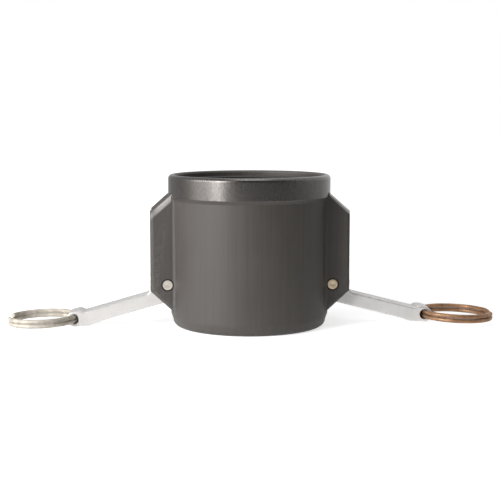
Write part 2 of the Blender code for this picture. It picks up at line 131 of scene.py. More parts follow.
class CouplerBodySizes(bpy.types.PropertyGroup):
    """Sizes of the cast body and its ears"""

    height: length("Height", BODY_HIGH.z, "Height of the body over both end faces")
    radius: length("Wall radius", 0.0422, "Outside radius of the plain wall")
    collar_radius: length("Collar radius", BODY_HIGH.y, "Outside radius of the turned collar")
    collar_height: length("Collar height", 0.0117, "Height of the turned collar")
    collar_slope: length("Collar slope", 0.0018, "Height of the slope from the collar down to the wall")
    rim_outer_edge: length("Rim outer rounding", 0.0021, "Rounding of the rim's outer edge")
    rim_edge: length("Rim inner rounding", 0.0014, "Rounding of the rim's inner edge")
    foot_height: length("Foot height", 0.0068, "Height at which the wall starts to draw in at the foot")
    foot_taper: length("Foot taper", 0.0012, "How far the foot draws in before its rounding")
    foot_edge: length("Foot rounding", 0.0034, "Rounding of the foot's outer edge")
    mouth_radius: length("Counterbore radius", 0.03945, "Radius of the plain counterbore in the mouth")
    mouth_depth: length("Counterbore depth", 0.003, "Depth of the counterbore")
    lead_in: length("Thread lead-in", 0.0006, "Chamfer between the counterbore and the thread")
    root_radius: length("Thread root radius", 0.03695, "Radius of the mouth at the bottom of the thread")
    land_radius: length("Waterway radius", 0.0254, "Radius of the hole between the two sockets")
    land_top: length("Land top", 0.0538, "Height of the land's upper face, where the thread starts")
    land_bottom: length("Land bottom", 0.0507, "Height of the land's lower face, over the gasket")
    groove_radius: length("Gasket groove radius", 0.0337, "Radius of the groove that holds the gasket")
    bore_top: length("Bore top", 0.04365, "Height of the mating bore's upper end")
    bore_radius: length("Bore radius", 0.03195, "Radius of the mating bore")
    bore_chamfer: length("Bore chamfer", 0.0012, "Chamfer at the mating bore's entrance")
    round_steps: count("Round steps", 180, "Facets round the body")
    ear_reach: length("Ear reach", BODY_HIGH.x, "How far the ears reach from the axis")
    ear_face: length("Ear face", 0.0138, "Distance of the ears' outer faces from the middle plane")
    slot_half: length("Slot half width", 0.00715, "Half of the gap between a pair of ears")
    ear_top: length("Ear top", 0.0623, "Height at which the ears' upper slope starts")
    ear_top_slope: angle("Ear upper slope", 41.6, "Slope of the ears' upper side")
    ear_bottom: length("Ear bottom", 0.0198, "Height at which the ears' lower slope starts")
    ear_bottom_slope: angle("Ear lower slope", 42.7, "Slope of the ears' lower side")
    ear_rounding: length("Ear rounding", 0.0021, "Rounding of the ears' outer edges")
    ear_slot_edge: length("Ear slot edge", 0.0005, "Rounding of the ears' edges in the slot")
    # Width of the painted highlight band under the left ears' upper slopes, which is drawn as pale metal.
    ear_highlight_band: length("Ear rub", 0.004, "Width of the rubbed band under the left ears' upper slopes")
    ear_fillet: length("Ear fillet", 0.0022, "Fillet between an ear and the wall")
    fillet_rise: length("Fillet rise", 0.001, "Height above the ear's lower slope at which its fillet starts")
    ear_root: length("Ear root", 0.0374, "Distance from the axis at which the ears end inside the wall")
    window_bottom: length("Window bottom", 0.01235, "Height of the lower end of the cam's window")
    window_top: length("Window top", 0.0412, "Height of the upper end of the cam's window")
    pin_hole: length("Pin hole radius", 0.00325, "Radius of the holes for the pins")


class CouplerThreadSizes(bpy.types.PropertyGroup):
    """Sizes of the pipe thread in the mouth"""

    pitch: length("Pitch", 0.003175, "Rise of the thread in one turn")
    crest_radius: length("Crest radius", 0.03425, "Radius of the thread's inner edge")
    crest_width: length("Crest width", 0.00035, "Width of the flat on the thread's inner edge")
    root_width: length("Root width", 0.00285, "Width of the thread's ridge at its foot")
    embed: length("Embed", 0.0003, "How deep the ridge's foot sits in the wall")
    fade: angle("Fade", 60.0, "Turn over which the ridge grows from nothing at each end")
    steps: count("Steps", 120, "Facets in one turn")


class CouplerArmSizes(bpy.types.PropertyGroup):
    """Sizes of the cam arms and pins"""

    width: length("Width", ARM_HIGH.y - ARM_LOW.y, "Width of the arm across its flat sides")
    edge: length("Edge rounding", 0.0008, "Rounding of the arm's long edges")
    hub_radius: length("Hub radius", 0.01005, "Radius of the hub round the pin")
    lobe_reach: length("Lobe reach", 0.0165, "How far the cam reaches from the pin")
    lobe_radius: length("Lobe radius", 0.006, "Radius of the cam's nose")
    bar_inner: offset("Bar inner face", -0.0026, "Place of the bar's inner face from the pin")
    bar_thickness: length("Bar thickness", 0.0071, "Thickness of the bar")
    root_fillet: length("Root fillet", 0.003, "Fillet between the bar and the hub")
    heel_angle: angle("Heel angle", -75.0, "Where the hub's curve runs out into the bar")
    heel_run: length("Heel run", 0.0114, "Length of the blend from the hub to the bar")
    swell_run: length("Swell run", 0.009, "Length over which the bar's end swells")
    swell_depth: length("Swell depth", 0.0004, "How much thicker the bar is at its end")
    swell_radius: length("Swell radius", 0.004, "Radius of the bar end's outer corner")
    swell_setback: length("Swell setback", 0.0069, "Distance of that corner's centre from the eye")
    eye_distance: length("Eye distance", 0.0536, "Distance from the pin to the eye, along the bar")
    eye_offset: offset("Eye offset", -0.0046, "Distance from the pin to the eye, across the bar")
    eye_hole: length("Eye hole radius", 0.0028, "Radius of the hole for the pull ring")
    eye_wall: length("Eye wall", 0.0012, "Metal round the eye")
    shoulder_radius: length("Shoulder radius", 0.0039, "Radius of the shoulder behind the eye")
    shoulder_setback: length("Shoulder setback", 0.0027, "Distance of the shoulder's centre from the eye")
    shoulder_fillet: length("Shoulder fillet", 0.0015, "Fillet between the shoulder and the bar")
    hole_edge: length("Hole edge", 0.0003, "Rounding of the eye's edge")
    pin_radius: length("Pin radius", (PIN_HIGH.x - PIN_LOW.x) / 2, "Radius of the pins")
    pin_edge: length("Pin edge", 0.0004, "Rounding of the pins' ends")
    pin_mark: length("Pin mark radius", 0.0007, "Radius of the shallow mark in the middle of a pin's end")
    pin_mark_depth: length("Pin mark depth", 0.00006, "Depth of that mark")


class CouplerRingSizes(bpy.types.PropertyGroup):
    """Sizes of the split pull rings"""

    left_radius: length("Left radius", 0.0178, "Radius of the left ring to the middle of its wire")
    right_radius: length("Right radius", 0.0188, "Radius of the right ring to the middle of its wire")
    wire_radius: length("Wire radius", 0.00115, "Radius of the wire")
    turn_gap: length("Turn gap", 0.00006, "Gap between the ring's two turns")
    start: angle("Start", 20.0, "Where the wire's end lies, from the ring's far side")
    left_tilt: angle("Left tilt", 1.628, "Slope of the left ring")
    right_tilt: angle("Right tilt", 2.068, "Slope of the right ring")
    steps: count("Steps", 120, "Facets in one turn")
    section_steps: count("Section steps", 20, "Facets round the wire")
    end_edge: length("End edge", 0.0002, "Rounding of the wire's cut ends")


class CouplerGasketSizes(bpy.types.PropertyGroup):
    """Sizes of the gasket"""

    outer: length("Outer radius", GASKET_HIGH.x, "Outside radius of the gasket")
    inner: length("Inner radius", 0.0254, "Inside radius of the gasket")
    top: length("Top", GASKET_HIGH.z, "Height of the gasket's upper face")
    bottom: length("Bottom", GASKET_LOW.z, "Height of the gasket's lower face")
    edge: length("Edge rounding", 0.0009, "Rounding of the gasket's edges")


class CouplerFinishes(bpy.types.PropertyGroup):
    """Colours, metallic shares and roughness of the coupler's finishes"""

    coat: color("Hard coat", (0.0575, 0.0505, 0.0455), "Colour of the dark hard-anodised casting")
    coat_streak: color("Coat streak", (0.077, 0.069, 0.0625), "Colour of the casting's paler streaks")
    collar: color("Collar", (0.088, 0.081, 0.0765), "Colour of the turned collar")
    collar_sparkle: color("Collar sparkle", (0.118, 0.11, 0.105), "Colour of the bright grains on the collar")
    # The darker colour inside the mouth and bore is painted shade.
    coat_inside_shade: color("Coat inside", (0.03, 0.028, 0.026), "Colour of the casting inside the mouth and bore")
    coat_worn: color("Worn coat", (0.24, 0.225, 0.21), "Colour of the casting where its edges are rubbed")
    # This pale metal colour is a painted highlight along the ears' upper slopes.
    coat_painted_highlight: color("Bare metal", (0.62, 0.6, 0.58), "Colour of the metal along the ears' upper slopes")
    coat_metallic: share("Coat metallic", 0.12, "How metallic the casting's plain wall is")
    collar_metallic: share("Collar metallic", 0.85, "How metallic the turned collar is")
    coat_roughness: share("Coat roughness", 0.58, "Roughness of the casting's plain wall")
    collar_roughness: share("Collar roughness", 0.29, "Roughness of the turned collar")
    arm: color("Arm steel", (0.72, 0.7, 0.685), "Colour of the tumbled arms")
    arm_pit: color("Arm pits", (0.5, 0.49, 0.48), "Colour of the arms' shallow pits")
    arm_metallic: share("Arm metallic", 0.5, "How metallic the arms are")
    # The near-black line round a pin's end is a painted shadow, where the pin sits in its hole.
    pin_rim_shadow: color("Pin rim", (0.02, 0.018, 0.016), "Colour of the dark line round a pin's end")
    pin: color("Pin steel", (0.7, 0.64, 0.56), "Colour of the left pin")
    pin_tarnished: color("Tarnished pin", (0.55, 0.45, 0.32), "Colour of the right pin's tarnish")
    pin_metallic: share("Pin metallic", 0.95, "How metallic the pins are")
    nickel: color("Nickel", (0.62, 0.575, 0.5), "Colour of the left ring's plating")
    nickel_dull: color("Dull nickel", (0.38, 0.34, 0.29), "Colour of the plating where it has dulled")
    nickel_metallic: share("Nickel metallic", 0.3, "How metallic the left ring is")
    nickel_roughness: share("Nickel roughness", 0.64, "Roughness of the left ring")
    bronze: color("Bronze", (0.405, 0.235, 0.135), "Colour of the right ring's wire")
    bronze_dull: color("Dull bronze", (0.235, 0.13, 0.072), "Colour of the bronze where it has darkened")
    bronze_metallic: share("Bronze metallic", 0.65, "How metallic the right ring is")
    bronze_roughness: share("Bronze roughness", 0.4, "Roughness of the right ring")
    rubber: color("Rubber", (0.018, 0.018, 0.018), "Colour of the gasket")
    rubber_dust: color("Rubber dust", (0.0432, 0.0432, 0.0432), "Colour of the gasket where dust lies on it")


class CouplerStageSettings(bpy.types.PropertyGroup):
    """Camera and floor"""

    camera_distance: length("Camera distance", 0.642, "Distance of the camera in front of the axis")
    camera_height: length("Camera height", 0.1156, "Height of the camera")
    aim_height: length("Aim height", 0.0401, "Height on the axis that the camera looks at")
    lens: FloatProperty(name="Lens", description="Focal length", default=86.4, unit="CAMERA")
    shift: FloatProperty(name="Shift", description="Sideways shift of the frame", default=0.0014, precision=4)
    turn: angle("Camera turn", 2.5, "How far the camera stands round towards the left arm")
    floor_size: length("Floor size", 8.0, "Length of the floor's sides")
    floor_color: color("Floor", (0.86, 0.86, 0.86), "Colour of the floor")


def bevel(builder, edges, distance, segments, rubbed=1.0):
    """Rounds the edges, and marks how rubbed the rounding's inner vertices are."""
    layer = builder.verts.layers.float.get(EDGE_LAYER) or builder.verts.layers.float.new(EDGE_LAYER)
    made = bmesh.ops.bevel(
        builder, geom=edges, offset=distance, offset_type="OFFSET", affect="EDGES",
        segments=segments, profile=0.5, material=-1, clamp_overlap=True,
    )
    faces = set(made["faces"])
    for vert in made["verts"]:
        if vert.is_valid and all(face in faces for face in vert.link_faces):
            vert[layer] = rubbed


def arc(centre, radius, start, end, step=FINE_ARC):
    """Points of a circle's arc, from the angle start to the angle end, both included."""
    parts = max(1, round(abs(end - start) / step))
    turns = [start + (end - start) * i / parts for i in range(parts + 1)]
    return [(centre[0] + radius * cos(a), centre[1] + radius * sin(a)) for a in turns]


def tangent_angle(first, first_radius, second, second_radius):
    """Direction from either centre to the line that touches both circles on their right-hand side."""
    run, rise = second[0] - first[0], second[1] - first[1]
    return atan2(rise, run) - acos((first_radius - second_radius) / hypot(run, rise))


def new_builder():
    builder = bmesh.new()
    builder.verts.layers.float.new(EDGE_LAYER)
    return builder


def outline_face(builder, points):
    """One flat face through (x, z) points in the plane y = 0."""
    corners = [builder.verts.new((across, 0.0, up)) for across, up in points]
    return builder.faces.new(corners)


def spin(builder, geometry, angle, steps, rise=0.0, merge=False):
    """Sweeps the geometry round the Z axis, and up by the rise at each step. Gives what it ends on."""
    made = bmesh.ops.spin(
        builder, geom=geometry, cent=(0, 0, 0), axis=(0, 0, 1), dvec=(0, 0, rise),
        angle=angle, steps=steps, use_merge=merge, use_duplicate=False,
    )
    return made["geom_last"]


def turned(outline, steps, worn=()):
    """A closed outline of (radius, height) points spun about Z. worn lists the rubbed points' indices."""
    builder = new_builder()
    layer = builder.verts.layers.float[EDGE_LAYER]
    corners = [builder.verts.new((radius, 0.0, height)) for radius, height in outline]
    for index in worn:
        corners[index][layer] = 1.0
    edges = [builder.edges.new(pair) for pair in zip(corners, corners[1:] + corners[:1])]
    spin(builder, corners + edges, tau, steps, merge=True)
    bmesh.ops.remove_doubles(builder, verts=builder.verts, dist=MERGE_DISTANCE)
    bmesh.ops.recalc_face_normals(builder, faces=builder.faces)
    return builder


def extruded(builder, face, vector):
    """Pushes a flat face out into a solid along the vector."""
    grown = bmesh.ops.extrude_face_region(builder, geom=[face], use_keep_orig=True)
    verts = [item for item in grown["geom"] if isinstance(item, bmesh.types.BMVert)]
    bmesh.ops.translate(builder, verts=verts, vec=vector)
    bmesh.ops.recalc_face_normals(builder, faces=builder.faces)


def rod(radius, low, high, steps, place=(0.0, 0.0, 0.0)):
    """A closed cylinder along Y, between two values of y, moved by the place."""
    builder = new_builder()
    middle = Matrix.Translation((0, (low + high) / 2, 0)) @ Matrix.Rotation(pi / 2, 4, "X")
    bmesh.ops.create_cone(
        builder, cap_ends=True, segments=steps, radius1=radius, radius2=radius,
        depth=high - low, matrix=middle,
    )
    bmesh.ops.translate(builder, verts=builder.verts, vec=place)
    return builder


def rod_ends(builder):
    """A rod's or wire's flat ends, which have more corners than its sides, and their rims."""
    ends = [face for face in builder.faces if len(face.verts) > ROD_SIDE_CORNERS]
    return ends, list({edge for face in ends for edge in face.edges})


def facing(sign):
    """No turn for the right side, and half a turn about Z for the left."""
    return Matrix.Rotation(0.0 if sign > 0 else pi, 4, "Z")


def to_object(name, builder):
    mesh = bpy.data.meshes.new(name)
    builder.to_mesh(mesh)
    builder.free()
    item = bpy.data.objects.new(name, mesh)
    bpy.context.scene.collection.objects.link(item)
    return item


def cut(target, tools, operation):
    """Applies each tool to the target with the Boolean modifier, and removes the tools."""
    for tool in tools:
        change = target.modifiers.new(operation.title(), "BOOLEAN")
        change.operation = operation
        change.solver = "EXACT"
        change.object = tool
    bpy.context.view_layer.update()
    evaluated = target.evaluated_get(bpy.context.evaluated_depsgraph_get())
    mesh = bpy.data.meshes.new_from_object(evaluated)
    target.modifiers.clear()
    mesh.name = target.name
    target.data = mesh
    for tool in tools:
        bpy.data.objects.remove(tool, do_unlink=True)


def seat(item, material, body, node):
    """Shades a finished piece, gives it its finish and sets it on the body in place of its plain solid."""
    item.data.materials.clear()
    item.data.materials.append(material)
    item.data.shade_smooth()
    item.data.set_sharp_from_angle(angle=SHARP_ANGLE)
    weighted = item.modifiers.new("Even shading", "WEIGHTED_NORMAL")
    weighted.keep_sharp = True
    weighted.weight = 100
    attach(item, body)
    if node:
        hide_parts(node)


def add_node(tree, kind, **settings):
    node = tree.nodes.new(kind)
    for name, value in settings.items():
        setattr(node, name, value)
    return node


def set_inputs(node, values):
    """Links Values to the named or numbered inputs, and sets the others to plain numbers or colours."""
    for name, value in values.items():
        socket = node.inputs[name]
        if isinstance(value, Value):
            value.tree.links.new(value.socket, socket)
        elif socket.type == "RGBA":
            socket.default_value = (*value, 1.0)
        else:
            socket.default_value = value


def add_math(tree, operation, *values, clamp=False):
    node = add_node(tree, "ShaderNodeMath", operation=operation, use_clamp=clamp)
    set_inputs(node, dict(enumerate(values)))
    return Value(tree, node.outputs[0])


class Value:
    """An output of a node. Reckoning with it, as with a number, adds nodes to its tree."""

    def __init__(self, tree, socket):
        self.tree = tree
        self.socket = socket

    def __add__(self, other):
        return add_math(self.tree, "ADD", self, other)

    def __sub__(self, other):
        return add_math(self.tree, "SUBTRACT", self, other)

    def __rsub__(self, other):
        return add_math(self.tree, "SUBTRACT", other, self)

    def __mul__(self, other):
        return add_math(self.tree, "MULTIPLY", self, other)

    def __truediv__(self, other):
        return add_math(self.tree, "DIVIDE", self, other)

    def __abs__(self):
        return add_math(self.tree, "ABSOLUTE", self)

    def highest(self, other):
        return add_math(self.tree, "MAXIMUM", self, other)

    def spread(self, low, high, to_low=0.0, to_high=1.0, kind="LINEAR"):
        """The run from low to high, mapped to the run from to_low to to_high and kept within it."""
        node = add_node(self.tree, "ShaderNodeMapRange", interpolation_type=kind)
        set_inputs(node, {
            "Value": self, "From Min": low, "From Max": high, "To Min": to_low, "To Max": to_high,
        })
        return Value(self.tree, node.outputs["Result"])

    def between(self, first, second):
        """A number between the first, at 0, and the second, at 1."""
        return self.spread(0.0, 1.0, first, second)

    def mix(self, first, second):
        """A colour between the first, at 0, and the second, at 1."""
        node = add_node(self.tree, "ShaderNodeMix", data_type="RGBA")
        set_inputs(node, {MIX_SHARE: self, MIX_FIRST: first, MIX_SECOND: second})
        return Value(self.tree, node.outputs[MIX_RESULT])


def radial(first, second):
    """The distance from the middle of a plane, from the two coordinates in it."""
    return add_math(first.tree, "SQRT", first * first + second * second)


def axes(vector):
    """A vector's x, y and z."""
    split = add_node(vector.tree, "ShaderNodeSeparateXYZ")
    set_inputs(split, {0: vector})
    return [Value(vector.tree, socket) for socket in split.outputs]


def ray_masks(tree):
    """Masks of what the camera sees, directly or through something clear, and of reflections."""
    path = add_node(tree, "ShaderNodeLightPath")
    direct, through, mirrored = [
        Value(tree, path.outputs[name]) for name in ("Is Camera Ray", "Is Transmission Ray", "Is Glossy Ray")
    ]
    return direct.highest(through), mirrored


def add_noise(vector, scale, detail, roughness):
    node = add_node(vector.tree, "ShaderNodeTexNoise")
    set_inputs(node, {"Vector": vector, "Scale": scale, "Detail": detail, "Roughness": roughness})
    return Value(vector.tree, node.outputs["Fac"])


def drawn_lines(vector, scale, stretch, detail):
    """Noise from 0 to 1 that is drawn out into lines along the axes where stretch is small."""
    stretched = add_node(vector.tree, "ShaderNodeVectorMath", operation="MULTIPLY")
    set_inputs(stretched, {0: vector, 1: stretch})
    return add_noise(Value(vector.tree, stretched.outputs[0]), scale, detail, roughness=0.6)


def soft_blotches(vector, scale, low, high):
    """Soft blotches between two numbers, as on handled metal."""
    return add_noise(vector, scale, detail=4.0, roughness=0.55).spread(0.34, 0.66, low, high, "SMOOTHSTEP")


def rubbed_edges(vector, breakup, amount):
    """A mask of rubbed edges: the piece's own edge attribute, broken up by noise."""
    edge = add_node(vector.tree, "ShaderNodeAttribute", attribute_name=EDGE_LAYER)
    noise = add_noise(vector, breakup, detail=5.0, roughness=0.65)
    broken = noise.spread(0.36, 0.62, kind="SMOOTHSTEP") * Value(vector.tree, edge.outputs["Fac"])
    return add_math(vector.tree, "MULTIPLY", broken, amount, clamp=True)


def shared_group(name, inputs, fill):
    """The named node group. If it isn't there yet, fill lays it out from its inputs."""
    if name in bpy.data.node_groups:
        return bpy.data.node_groups[name]
    group = bpy.data.node_groups.new(name, "ShaderNodeTree")
    for key, default in inputs.items():
        kind = "NodeSocketFloat" if isinstance(default, float) else "NodeSocketVector"
        group.interface.new_socket(name=key, in_out="INPUT", socket_type=kind).default_value = default
    group.interface.new_socket(name="Value", in_out="OUTPUT", socket_type="NodeSocketFloat")
    source = add_node(group, "NodeGroupInput")
    result = fill(*[Value(group, source.outputs[key]) for key in inputs])
    set_inputs(add_node(group, "NodeGroupOutput"), {"Value": result})
    return group


class Finish:
    """A new material with its node tree, its shader and its Object coordinates."""

    def __init__(self, name):
        self.material = bpy.data.materials.new(name)
        self.material.use_nodes = True
        self.tree = self.material.node_tree
        self.shader = self.tree.nodes["Principled BSDF"]
        self.coords = Value(self.tree, add_node(self.tree, "ShaderNodeTexCoord").outputs["Object"])

    def effect(self, name, fill, **values):
        """The value of a shared node group on this material's coordinates."""
        group = shared_group(name, {"Vector": (0.0, 0.0, 0.0), **values}, fill)
        node = add_node(self.tree, "ShaderNodeGroup", node_tree=group)
        set_inputs(node, {"Vector": self.coords, **values})
        return Value(self.tree, node.outputs[0])

    def lines(self, scale, stretch=(1.0, 1.0, 1.0), detail=3.0):
        return self.effect("Drawn lines", drawn_lines, Scale=scale, Stretch=stretch, Detail=detail)

    def blotches(self, scale, low=0.0, high=1.0):
        return self.effect("Soft blotches", soft_blotches, Scale=scale, Low=low, High=high)

    def wear(self, breakup, amount):
        return self.effect("Rubbed edges", rubbed_edges, Breakup=breakup, Amount=amount)

    def shaded(self, base, metallic, roughness, relief, depth, strength):
        """The material, when its shader has its looks and the relief as a bump."""
        bump = add_node(self.tree, "ShaderNodeBump")
        set_inputs(bump, {"Height": relief, "Distance": depth, "Strength": strength})
        normal = Value(self.tree, bump.outputs["Normal"])
        looks = {"Base Color": base, "Metallic": metallic, "Roughness": roughness, "Normal": normal}
        set_inputs(self.shader, looks)
        return self.material


def painted_highlight_bands(x, y, z, sizes):
    """A mask of the painted highlight bands under the ears' upper slopes, wider and softer on the left than
    right.
    """
    out = abs(x)
    right = x.spread(-MIDDLE_BLEND, MIDDLE_BLEND)
    run, rise = sin(sizes.ear_top_slope), cos(sizes.ear_top_slope)
    slope = sizes.ear_reach * run + sizes.ear_top * rise
    depth = (slope - (out * run + z * rise)) / right.between(sizes.ear_highlight_band, sizes.ear_highlight_band * 0.5)
    band = depth.spread(1.0, 0.7) * depth.spread(0.2, 0.5).highest(right)
    corner = out.spread(*[sizes.ear_reach - fade for fade in HIGHLIGHT_CORNER_FADE], 0.8, 0.2)
    face = sizes.ear_face - sizes.ear_rounding
    return band * corner.highest(right) * abs(y).spread(face, face + BLEND)


def coat_material(finishes, sizes):
    """Dark hard-anodised casting: streaked wall, turned collar, painted shade inside, painted highlight on
    the ears.
    """
    finish = Finish("Hard coat")
    x, y, z = axes(finish.coords)
    from_axis = radial(x, y)
    inside_radius = sizes.root_radius + sizes.lead_in
    # Mask of the thread, the land and the bore, nearer the axis than the counterbore, which get painted
    # shade.
    inside = from_axis.spread(inside_radius + BLEND, inside_radius - BLEND)
    within = from_axis.spread(sizes.collar_radius + BLEND, sizes.collar_radius + BLEND / 2)
    beyond = from_axis.spread(*[sizes.mouth_radius + fade for fade in RIM_FADE])
    collar_bottom = sizes.height - sizes.collar_height
    collar = z.spread(collar_bottom - COLLAR_CORNER, collar_bottom) * within * beyond
    wall = 1.0 - collar
    # Painted highlight: pale, more metallic and smoother bands along the ears' upper slopes, outside the
    # collar.
    painted_highlight = painted_highlight_bands(x, y, z, sizes) * (1.0 - within)

    streaks = finish.lines(520.0, (1.0, 1.0, 0.03))
    turning = finish.lines(4200.0, (0.02, 0.02, 1.0))
    grain = finish.lines(2600.0)
    blotches = finish.blotches(45.0)
    wear = finish.wear(900.0, 0.22)

    pale = streaks.spread(0.35, 0.65) * 0.55 * wall + blotches * 0.3
    casting = pale.mix(finishes.coat, finishes.coat_streak)
    polished = finish.blotches(1500.0).mix(finishes.collar, finishes.collar_sparkle)
    outside = wear.mix(collar.mix(casting, polished), finishes.coat_worn)
    # The painted highlight's pale metal colour, broken up by the blotches.
    outside = (painted_highlight * blotches.between(0.75, 1.0)).mix(outside, finishes.coat_painted_highlight)

    metallic = collar.between(finishes.coat_metallic, finishes.collar_metallic).highest(painted_highlight * 0.9)
    rough = collar.between(finishes.coat_roughness, finishes.collar_roughness)
    rough = rough + streaks.spread(0.3, 0.7, -0.03, 0.03) + blotches.between(-0.02, 0.03)
    rough = rough - wear * 0.1 - painted_highlight * 0.2
    relief = streaks * wall * 0.5 + grain * collar.between(0.25, 0.7) + turning * collar * 0.6
    # Painted shade: the casting turns darker inside the mouth's thread, the land and the bore.
    outside = inside.mix(outside, finishes.coat_inside_shade)
    return finish.shaded(outside, metallic, rough, relief, depth=0.00006, strength=0.7)


def arm_material(finishes):
    """Tumbled stainless casting: bright, satin, with a fine pitted grain."""
    finish = Finish("Arm steel")
    grain = finish.lines(1500.0, detail=6.0)
    blotches = finish.blotches(160.0)
    pits = grain.spread(0.62, 0.3) * 0.3 + blotches * 0.12
    steel = pits.mix(finishes.arm, finishes.arm_pit)
    rough = blotches.between(0.34, 0.46) - finish.wear(500.0, 0.8) * 0.12
    relief = grain * 0.6 + blotches * 0.5
    return finish.shaded(steel, finishes.arm_metallic, rough, relief, depth=0.00009, strength=0.6)


def pin_material(finishes, rim_radius):
    """Cut steel with a faint grain, a painted shadow line round the pin's end, and tarnish on the right pin.
    """
    finish = Finish("Pin steel")
    x, _, z = axes(finish.coords)
    grain = finish.lines(2600.0, (1.0, 0.2, 1.0))
    steel = x.spread(-MIDDLE_BLEND, MIDDLE_BLEND).mix(finishes.pin, finishes.pin_tarnished)
    face = (finish.blotches(500.0) * 0.15).mix(steel, (0.0, 0.0, 0.0))
    place = JOINT_PLACE["right_arm_hinge"]
    # Painted shadow: a near-black line from the edge of the pin's end outwards, where it meets its hole.
    rim = radial(abs(x) - place.x, z - place.z).spread(rim_radius, rim_radius + PIN_SHADOW_BLEND)
    rough = grain.spread(0.3, 0.7, 0.3, 0.42)
    face = rim.mix(face, finishes.pin_rim_shadow)
    return finish.shaded(face, finishes.pin_metallic, rough, grain, depth=0.00005, strength=0.6)


def wire_material(finishes, metal):
    """Drawn wire of the named metal, with a thin, uneven tarnish."""
    bright, dull, metallic, roughness = [
        getattr(finishes, metal + part) for part in ("", "_dull", "_metallic", "_roughness")
    ]
    finish = Finish("Ring " + metal)
    tarnish = finish.blotches(240.0, 0.0, 0.7)
    grain = finish.lines(2400.0, detail=4.0)
    rough = tarnish.spread(0.0, 0.7, roughness, roughness + 0.12) + grain.spread(0.3, 0.7, -0.03, 0.03)
    return finish.shaded(tarnish.mix(bright, dull), metallic, rough, grain, depth=0.00003, strength=0.5)


def rubber_material(finishes):
    """Matt moulded rubber with a trace of dust."""
    finish = Finish("Gasket rubber")
    dust = finish.blotches(130.0, 0.0, 0.6)
    dusty = dust.mix(finishes.rubber, finishes.rubber_dust)
    rough = dust.spread(0.0, 0.6, 0.6, 0.78)
    return finish.shaded(dusty, 0.0, rough, finish.lines(3000.0), depth=0.00006, strength=0.4)


def body_outline(sizes):
    """The casting's section as (radius, height) points, and the indices of the points on rubbed edges."""
    quarter = pi / 2
    collar_bottom = sizes.height - sizes.collar_height
    mouth_floor = sizes.height - sizes.mouth_depth
    rim_centre = (sizes.collar_radius - sizes.rim_outer_edge, sizes.height - sizes.rim_outer_edge)
    outline = arc(rim_centre, sizes.rim_outer_edge, quarter, 0, radians(10))
    worn = list(range(1, len(outline) - 1))
    outline += [
        (sizes.collar_radius, collar_bottom + COLLAR_CORNER),
        (sizes.collar_radius - COLLAR_CORNER, collar_bottom),
        (sizes.radius, collar_bottom - sizes.collar_slope),
        (sizes.radius, sizes.foot_height),
    ]
    foot_centre = (sizes.radius - sizes.foot_taper - sizes.foot_edge, sizes.foot_edge)
    outline += arc(foot_centre, sizes.foot_edge, 0, -quarter, radians(10))
    outline += [
        (sizes.bore_radius + sizes.bore_chamfer, 0.0),
        (sizes.bore_radius, sizes.bore_chamfer),
        (sizes.bore_radius, sizes.bore_top),
        (sizes.groove_radius, sizes.bore_top),
        (sizes.groove_radius, sizes.land_bottom),
        (sizes.land_radius, sizes.land_bottom),
        (sizes.land_radius, sizes.land_top),
        (sizes.root_radius, sizes.land_top),
        (sizes.root_radius, mouth_floor - sizes.lead_in),
        (sizes.root_radius + sizes.lead_in, mouth_floor),
        (sizes.mouth_radius, mouth_floor),
    ]
    inner_centre = (sizes.mouth_radius + sizes.rim_edge, sizes.height - sizes.rim_edge)
    first = len(outline)
    outline += arc(inner_centre, sizes.rim_edge, pi, quarter, radians(15))
    worn += range(first + 1, len(outline) - 1)
    return outline, worn


def slope_planes(sizes, lift=0.0):
    """A point and outward direction for the ears' upper slope and, raised by lift, their lower slope."""
    up, down = sizes.ear_top_slope, sizes.ear_bottom_slope
    return (
        ((sizes.ear_reach, 0.0, sizes.ear_top), (sin(up), 0.0, cos(up))),
        ((sizes.ear_reach, 0.0, sizes.ear_bottom + lift), (sin(down), 0.0, -cos(down))),
    )


def raised(plan, top, planes):
    """A plan of (x, y) points raised from the ground to the height top, and cut by the planes."""
    builder = new_builder()
    face = builder.faces.new([builder.verts.new((x, y, 0.0)) for x, y in plan])
    extruded(builder, face, (0.0, 0.0, top))
    for place, normal in planes:
        geometry = builder.verts[:] + builder.edges[:] + builder.faces[:]
        bmesh.ops.bisect_plane(
            builder, geom=geometry, dist=MERGE_DISTANCE, plane_co=place, plane_no=normal, clear_outer=True
        )
        bmesh.ops.holes_fill(builder, edges=[edge for edge in builder.edges if edge.is_boundary])
    bmesh.ops.recalc_face_normals(builder, faces=builder.faces)
    return builder


def ear_builder(sizes):
    """One ear, towards +X and -Y: wide rounding on its outer edges, and less along the slot."""
    plan = [
        (sizes.ear_root, -sizes.slot_half),
        (sizes.ear_root, -sizes.ear_face),
        (sizes.ear_reach, -sizes.ear_face),
        (sizes.ear_reach, -sizes.slot_half),
    ]
    builder = raised(plan, sizes.height, slope_planes(sizes))

    def along(edge, y):
        return all(abs(vert.co.y + y) < MERGE_DISTANCE for vert in edge.verts)

    def outside(edge):
        return any(vert.co.x > sizes.ear_root + MERGE_DISTANCE for vert in edge.verts)

    outer = [edge for edge in builder.edges if along(edge, sizes.ear_face) and outside(edge)]
    bevel(builder, outer, sizes.ear_rounding, segments=8, rubbed=0.0)
    inner = [edge for edge in builder.edges if along(edge, sizes.slot_half) and outside(edge)]
    bevel(builder, inner, sizes.ear_slot_edge, segments=3, rubbed=0.0)
    return builder


